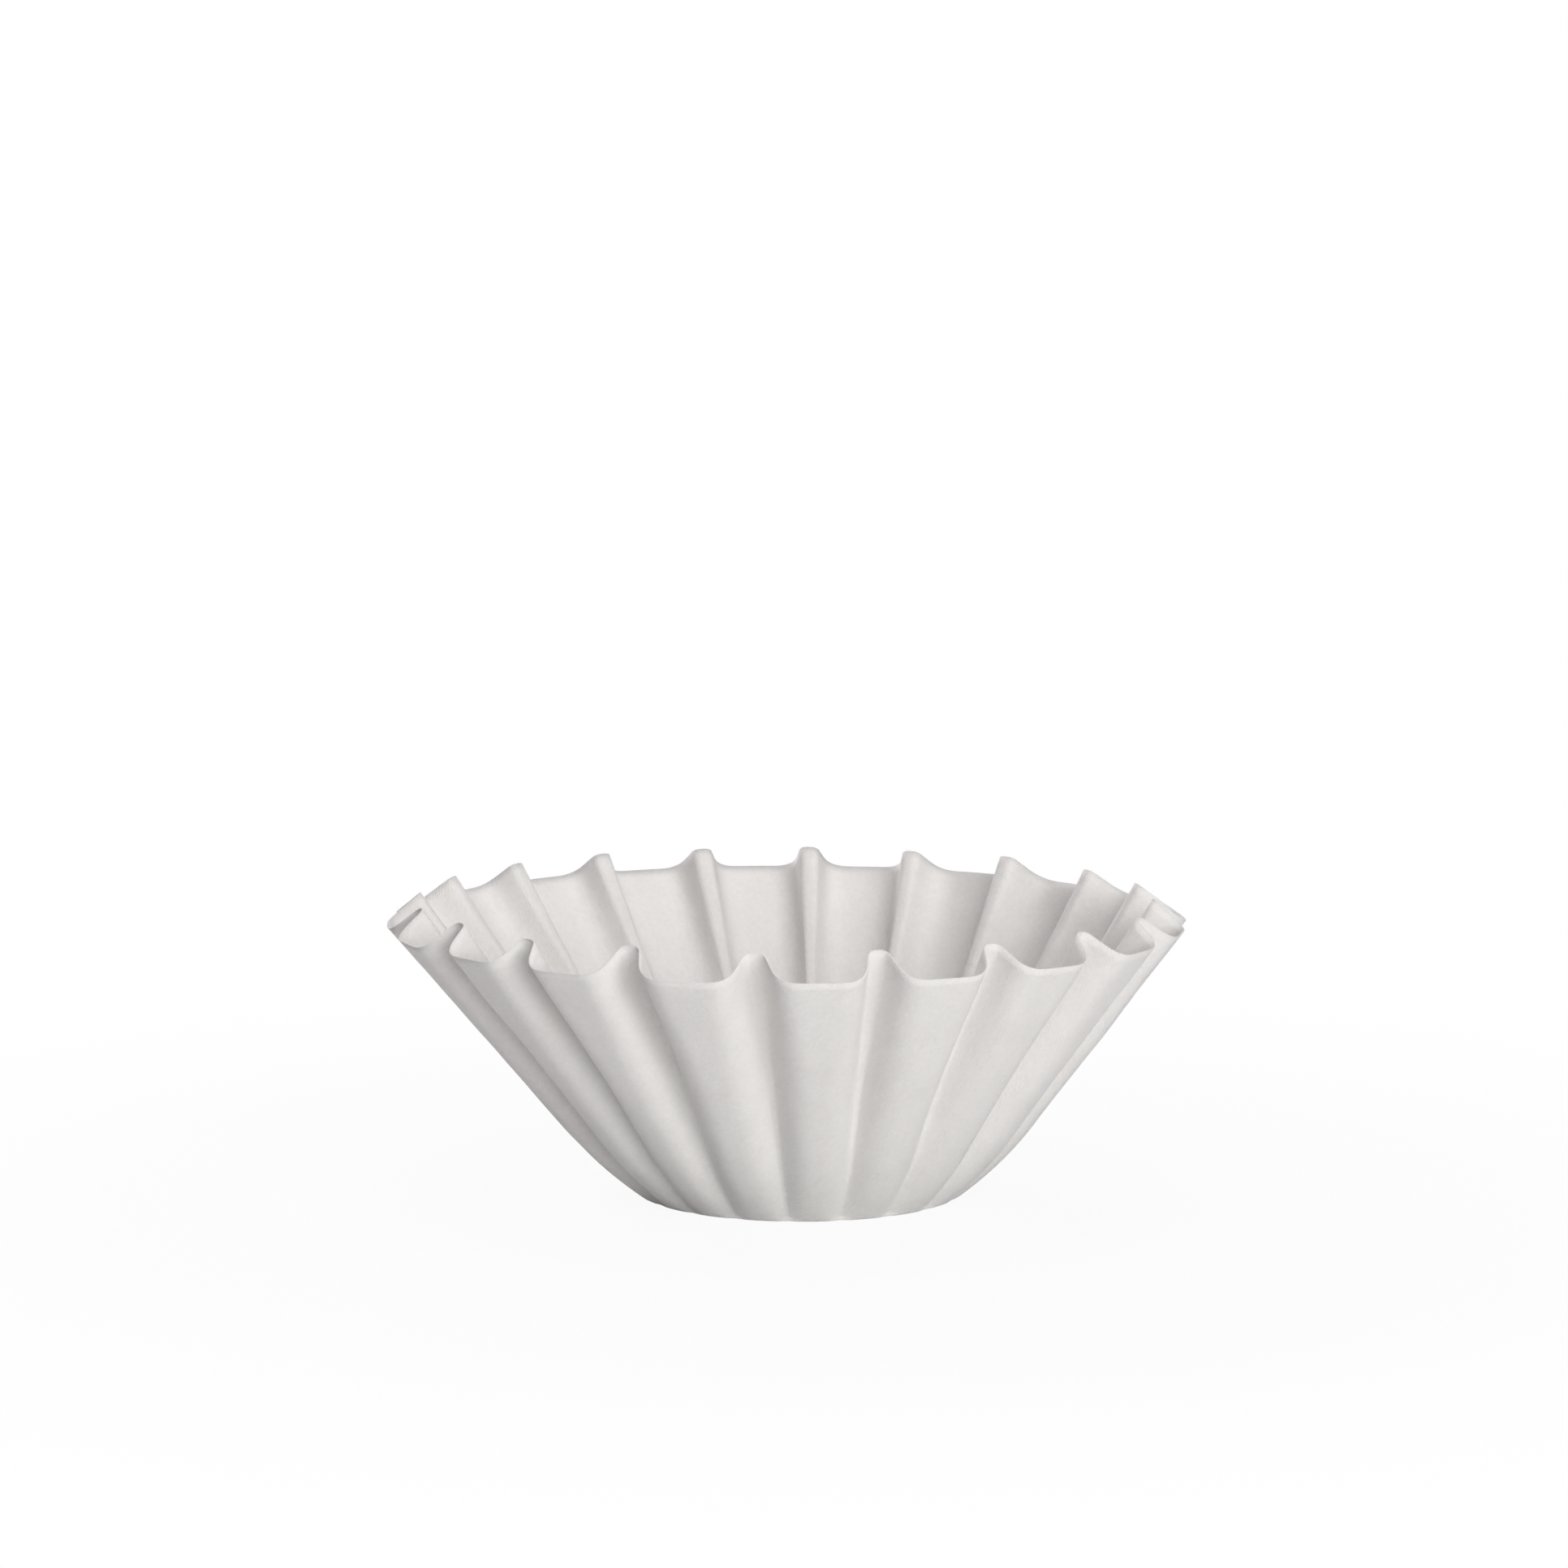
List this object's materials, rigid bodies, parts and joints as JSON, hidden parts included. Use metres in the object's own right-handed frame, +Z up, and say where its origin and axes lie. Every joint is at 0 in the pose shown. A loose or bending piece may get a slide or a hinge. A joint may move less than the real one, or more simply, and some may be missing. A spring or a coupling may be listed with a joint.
{
  "type": "paper coffee filter",
  "caption": "Flat-bottomed fluted paper cup that holds ground coffee in a dripper or brewer basket.",
  "frame": {"origin": "centre of the foot's underside", "axes": "+Z up the cup's axis and out of its mouth, -Y through the middle of a lobe"},
  "size_m": [0.1406, 0.1406, 0.0518],
  "materials": {
    "filter_paper": "white creped filter paper, matte"
  },
  "bodies": {
    "root": {"filter_paper": "filter_paper"}
  },
  "joints": []
}
